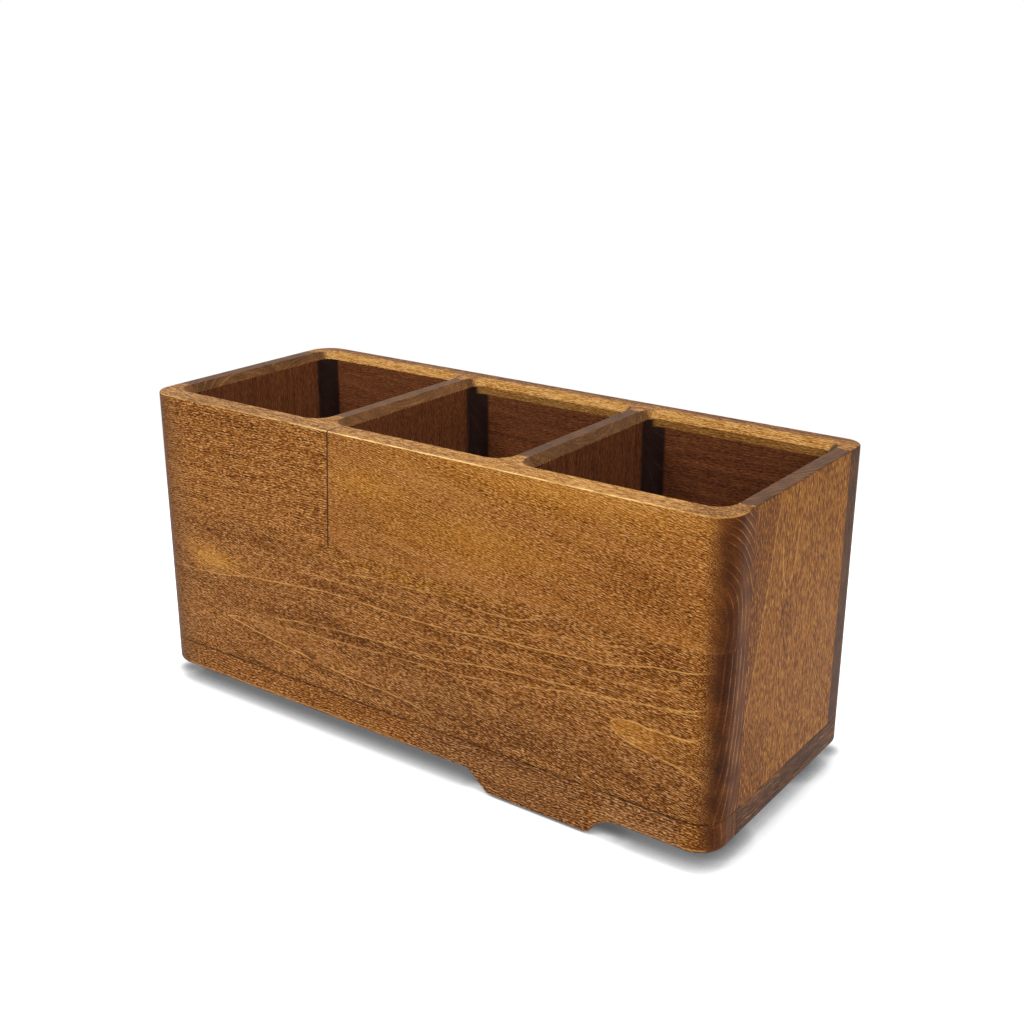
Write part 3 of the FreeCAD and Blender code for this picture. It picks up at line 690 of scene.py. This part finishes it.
def dress_front():
    """The three staves of the front board."""
    wear("front_lower_stave", stained(
        "front_lower_wood", "X", 1.0, tone=0.58, fibre=0.435, fibre_size=(2.6, 0.9), slant=0.15,
        figure=lower_front_figure, pith=(-330.0, 96.0), lean=(0.02, 0.0), spacing=3.0, waver=0.6,
        ring_depth=0.02, end_rings=0.42, end_shade=corner_shade(0.1, 0.16, 0.05, LOWER_CORNER),
        glue=(("Z", FRONT_JOINT_Z, 0.5),), extra=lower_tint))
    wear("front_upper_left_stave", stained(
        "front_upper_left_wood", "X", 2.0, tone=0.53, fibre=0.39, fibre_size=(2.6, 1.1), pith=(-20.0, 60.0),
        spacing=7.0, ring_depth=0.04, extra=upper_left_tint))
    wear("front_upper_right_stave", stained(
        "front_upper_right_wood", "X", 3.0, tone=0.46, fibre=0.37, fibre_size=(2.5, 0.95), slant=0.18,
        figure=upper_right_figure, pith=(-79.6, 94.0), lean=(0.0, 0.05), spacing=2.6, ring_depth=0.03,
        end_rings=0.4, end_shade=corner_shade(0.08, 0.16, 0.04, UPPER_CORNER), extra=upper_right_tint))


def dress_back():
    """The two staves of the back board."""
    shared = {"waver": 0.6, "end": 0.64, "end_rings": 0.2, "end_cool": 0.75,
              "glue": (("Z", BACK_JOINT_Z, 0.5),)}
    wear("back_lower_stave", stained(
        "back_lower_wood", "X", 4.0, tone=0.52, pith=(-10.0, 44.0), lean=(0.11, 0.03), spacing=3.0,
        ring_depth=0.13, face_rings=0.3, **shared))
    wear("back_upper_stave", stained(
        "back_upper_wood", "X", 5.0, tone=0.47, pith=(4.0, 102.0), lean=(-0.09, -0.04), spacing=3.4,
        ring_depth=0.12, face_rings=0.28, extra=back_mouth, **shared))


def dress_sides():
    """The side walls, two staves each."""
    shared = {"blotch": 0.08, "streak": 0.06, "fibre": 0.33, "fibre_size": (4.0, 1.2), "ring_depth": 0.06,
              "spacing": 2.4, "end_rings": 0.4, "top_rings": 0.7, "end": 0.62, "palette": SIDE_GRAIN}
    walls = (("left", -1, LEFT_JOINT_Y, 6.0, 0.35, None, None),
             ("right", 1, RIGHT_JOINT_Y, 8.0, 0.0, right_front_figure, right_rear_figure))
    for side, sign, joint, seed, face_rings, front_figure, rear_figure in walls:
        wear(f"{side}_wall_front_stave", stained(
            f"{side}_wall_front_wood", "Z", seed, tone=0.55, pith=(sign * 85.0, -22.0),
            lean=(sign * 0.12, 0.08), glue=(("Y", FRONT_INNER, 0.7), ("Y", joint, 0.4)),
            figure=front_figure, face_rings=face_rings, **shared))
        wear(f"{side}_wall_rear_stave", stained(
            f"{side}_wall_rear_wood", "Z", seed + 1, tone=0.53, pith=(sign * 90.0, 34.0),
            lean=(sign * -0.1, 0.03), glue=(("Y", BACK_INNER, 0.7), ("Y", joint, 0.4)),
            figure=rear_figure, face_rings=face_rings, **shared))


def dress_dividers():
    """The two dividers. Their tops show end grain, and the right one is the darker."""
    for index, name in enumerate(("left_divider", "right_divider")):
        wear(name, stained(
            f"{name}_wood", "Z", 10.0 + index, tone=0.5, pith=(-110.0 + CELL_PITCH * index, 0.0),
            lean=(0.05, 0.03), spacing=2.6, end_rings=0.42, top_rings=0.45, end=0.52 + 0.14 * index,
            glue=(("Y", FRONT_INNER, 0.7), ("Y", BACK_INNER, 0.8))))


def dress_plinth():
    """The low course and the tray."""
    for index, name in enumerate(("left_rail", "right_rail")):
        wear(name, stained(
            f"{name}_wood", "Y", 12.0 + index, tone=0.76, pith=(20.0, 130.0), lean=(0.03, 0.05),
            spacing=4.0, streak=0.22, fibre=0.25, fibre_size=(9.0, 1.4), extra=smoky))
    wear("back_rail", stained(
        "back_rail_wood", "X", 14.0, tone=0.6, pith=(-10.0, 16.0), lean=(0.05, 0.02)))
    wear("tray_front", stained(
        "tray_front_wood", "X", 15.0, tone=0.63, pith=(-90.0, 10.0), lean=(0.0, 0.02), spacing=3.0,
        end_shade=corner_shade(0.14, 0.12, 0.06), extra=strip_edges))
    for index, name in enumerate(("tray_left_side", "tray_right_side")):
        wear(name, stained(f"{name}_wood", "Y", 16.0 + index, tone=0.34))
    wear("tray_back", stained("tray_back_wood", "X", 18.0, tone=0.34))


def dress_panels():
    """The plywood of the floor and the tray bottom, with broad flames of peeled veneer."""
    for name, seed, tone in (("floor_panel", 19.0, 0.5), ("tray_bottom", 20.0, 0.42)):
        wear(name, stained(
            f"{name}_ply", "X", seed, tone=tone, pith=(0.0, -160.0), lean=(0.03, 0.16), spacing=5.0,
            ring_depth=0.26, waver=5.0, fibre=0.16, face_rings=0.25, extra=veneers))


def dowel_wood():
    """Bare beech."""
    w = Wood("dowel_beech", "Y", 21.0)
    tone = w.total(0.4, w.swing(w.stretched(20, 0.8), 0.25), w.swing(w.stretched(1.5, 0.5), 0.15))
    return finish(w, w.ramp(tone, BARE_GRAIN), w.noise(w.stretched(1.5, 0.3)), 0.6)


def rubber():
    """Black rubber with a fine grit and some dust."""
    g = Graph("black_rubber")
    source = g.add("TexCoord").outputs["Object"]
    grit = g.grit(source, 1800.0)
    dust = g.grit(source, 160.0)
    shader = g.add("BsdfPrincipled")
    g.put(shader.inputs["Base Color"], g.ramp(dust, ((0.3, (30, 30, 30)), (0.75, (52, 51, 50)))))
    g.put(shader.inputs["Roughness"], g.ease(grit, 0.2, 0.8, 0.62, 0.85))
    g.bump(shader, grit, 0.25, 0.1)
    return g.surface(shader.outputs[0])


def zinc():
    """Zinc plated steel with a faint bloom."""
    g = Graph("zinc_plated_steel")
    source = g.add("TexCoord").outputs["Object"]
    bloom = g.grit(source, 700.0)
    shader = g.add("BsdfPrincipled")
    shader.inputs["Metallic"].default_value = 1.0
    g.put(shader.inputs["Base Color"], g.ramp(bloom, ((0.25, (176, 178, 176)), (0.8, (206, 206, 200)))))
    g.put(shader.inputs["Roughness"], g.ease(bloom, 0.2, 0.8, 0.24, 0.42))
    return g.surface(shader.outputs[0])


def dress_fittings():
    """Dowels, screws, brads, pins and feet."""
    beech, black, steel = dowel_wood(), rubber(), zinc()
    for name in ("wall_dowels", "divider_dowels"):
        wear(name, beech)
    for name in ("rail_screws", "floor_screws", "foot_screws", "stop_pins", "tray_brads"):
        wear(name, steel)
    for end in ("front", "rear"):
        for side in ("left", "right"):
            wear(f"{end}_{side}_foot", black)


# ---- stage --------------------------------------------------------------
FLOOR_HALF = 3.0             # metres
FLOOR_LIFT = 0.5             # the glowing share of the floor's white: cast shadows leave it, the painted contact shadow dims it
CONTACT_REACH = 12.0         # mm round the object that its contact shadow covers
FLOOR_FADE = (0.28, 0.5)     # metres from the middle, where the floor fades into the backdrop
# The painted contact shadow: floor colours by how open the floor is to the sky.
FLOOR_SHADES = ((0.4, (106, 108, 110)), (0.5, (128, 130, 132)), (0.6, (160, 161, 162)),
                (0.7, (198, 199, 200)), (0.84, (238, 238, 238)), (1.0, (250, 250, 250)))
# Where the contact shadow is deeper, at two corners, as centre and size in X and Y, and by how much.
DEEPER_CORNERS = (((-151.0, -48.5), (6.0, 6.0), -0.27), ((144.0, 62.5), (7.0, 7.0), -0.42))


def contact_shift(g):
    """How far the contact shadow is weakened by the tab and at the right, and deepened at two corners."""
    x, y, _ = g.split(g.millimetres(g.add("TexCoord").outputs["Object"]))
    in_front = g.fall(y, -56.0, -50.0)
    tab = g.times(g.ease(x, 26.0, 44.0), g.fall(x, 94.0, 116.0), in_front, 0.35)
    corners = patch_shades(g, (x, y), DEEPER_CORNERS)
    return g.total(tab, *corners, g.ease(x, 90.0, 140.0, 0.0, 0.05))


def floor():
    """A white floor with the object's cast shadow and a painted contact shadow, fading into the white
    backdrop.
    """
    mesh = bpy.data.meshes.new("floor")
    corners = [(x * FLOOR_HALF, y * FLOOR_HALF, 0.0) for x, y in ((-1, -1), (1, -1), (1, 1), (-1, 1))]
    mesh.from_pydata(corners, [], [(0, 1, 2, 3)])
    ground = bpy.data.objects.new("floor", mesh)
    bpy.context.scene.collection.objects.link(ground)
    g = Graph("white_floor")
    # the painted contact shadow, from ambient occlusion
    contact = g.add("AmbientOcclusion", samples=12)
    contact.inputs["Distance"].default_value = CONTACT_REACH * MM
    openness = g.total(contact.outputs["AO"], contact_shift(g))
    shade = g.ramp(openness, FLOOR_SHADES)
    diffuse = g.add("BsdfDiffuse")
    g.put(diffuse.inputs["Color"], shade)
    glow = g.add("Emission")
    glow.inputs["Strength"].default_value = FLOOR_LIFT
    g.put(glow.inputs["Color"], shade)
    near = g.add("AddShader")
    g.put(near.inputs[0], diffuse.outputs[0])
    g.put(near.inputs[1], glow.outputs[0])
    white = g.add("Emission")
    distance = g.vector_math("LENGTH", g.add("TexCoord").outputs["Object"], output=1)
    seen = g.add("LightPath")
    shown = g.largest(seen.outputs["Is Camera Ray"], seen.outputs["Is Glossy Ray"],
                      seen.outputs["Is Transmission Ray"])
    fade = g.times(g.ease(distance, *FLOOR_FADE), shown)
    lit = g.add("MixShader")
    g.put(lit.inputs[0], shown)
    g.put(lit.inputs[1], diffuse.outputs[0])
    g.put(lit.inputs[2], near.outputs[0])
    out = g.add("MixShader")
    g.put(out.inputs[0], fade)
    g.put(out.inputs[1], lit.outputs[0])
    g.put(out.inputs[2], white.outputs[0])
    mesh.materials.append(g.surface(out.outputs[0]))


def backdrop(strength):
    """A white world for the camera and for reflections, and a softer one that lights the object."""
    world = bpy.data.worlds.new("studio")
    bpy.context.scene.world = world
    world.use_nodes = True
    nodes, links = world.node_tree.nodes, world.node_tree.links
    nodes.clear()
    path = nodes.new("ShaderNodeLightPath")
    shown = nodes.new("ShaderNodeMath")
    shown.operation = "MAXIMUM"
    glossy = nodes.new("ShaderNodeMath")
    glossy.operation = "MAXIMUM"
    links.new(path.outputs["Is Glossy Ray"], glossy.inputs[0])
    links.new(path.outputs["Is Transmission Ray"], glossy.inputs[1])
    links.new(path.outputs["Is Camera Ray"], shown.inputs[0])
    links.new(glossy.outputs[0], shown.inputs[1])
    soft, white = (nodes.new("ShaderNodeBackground") for _ in range(2))
    for background in (soft, white):
        background.inputs["Color"].default_value = (1.0, 1.0, 1.0, 1.0)
    soft.inputs["Strength"].default_value = strength
    white.inputs["Strength"].default_value = 1.0
    mixed = nodes.new("ShaderNodeMixShader")
    out = nodes.new("ShaderNodeOutputWorld")
    links.new(shown.outputs[0], mixed.inputs[0])
    links.new(soft.outputs[0], mixed.inputs[1])
    links.new(white.outputs[0], mixed.inputs[2])
    links.new(mixed.outputs[0], out.inputs["Surface"])


def lamp(name, place, size, share):
    """A square soft lamp aimed at the box. A pale face turned to it shows this share of its own colour."""
    data = bpy.data.lights.new(name, "AREA")
    data.size = size
    target = Vector((0.0, 0.0, 0.07))
    to_target = target - Vector(place)
    data.energy = share * math.pi ** 2 * to_target.length_squared
    light = bpy.data.objects.new(name, data)
    light.location = place
    light.rotation_mode = "QUATERNION"
    light.rotation_quaternion = to_target.to_track_quat("-Z", "Y")
    bpy.context.scene.collection.objects.link(light)


def camera():
    """The camera, in front of the box, to its right and above it."""
    turn, tilt, roll = (math.radians(a) for a in (CAMERA_TURN, CAMERA_TILT, CAMERA_ROLL))
    ahead = Vector((-math.sin(turn) * math.cos(tilt), math.cos(turn) * math.cos(tilt), -math.sin(tilt)))
    level = Vector((math.cos(turn), math.sin(turn), 0.0))
    upright = level.cross(ahead)
    right = math.cos(roll) * level + math.sin(roll) * upright
    up = -math.sin(roll) * level + math.cos(roll) * upright
    data = bpy.data.cameras.new("camera")
    data.lens = LENS
    data.sensor_width = 36.0
    data.clip_start, data.clip_end = 0.01, 20.0
    eye = bpy.data.objects.new("camera", data)
    eye.matrix_world = Matrix.Translation(CAMERA_PLACE) @ Matrix((right, up, -ahead)).transposed().to_4x4()
    bpy.context.scene.collection.objects.link(eye)
    bpy.context.scene.camera = eye


def studio():
    """The floor, the backdrop and three soft lamps."""
    floor()
    backdrop(0.26)
    lamp("key", (-0.6, -1.2, 1.3), 0.8, 0.42)
    lamp("fill", (1.2, -0.7, 1.0), 0.8, 0.4)
    lamp("top", (0.0, 0.05, 1.5), 0.8, 0.62)


dress_front()
dress_back()
dress_sides()
dress_dividers()
dress_plinth()
dress_panels()
dress_fittings()
studio()
camera()
bpy.context.scene.view_settings.view_transform = "Standard"
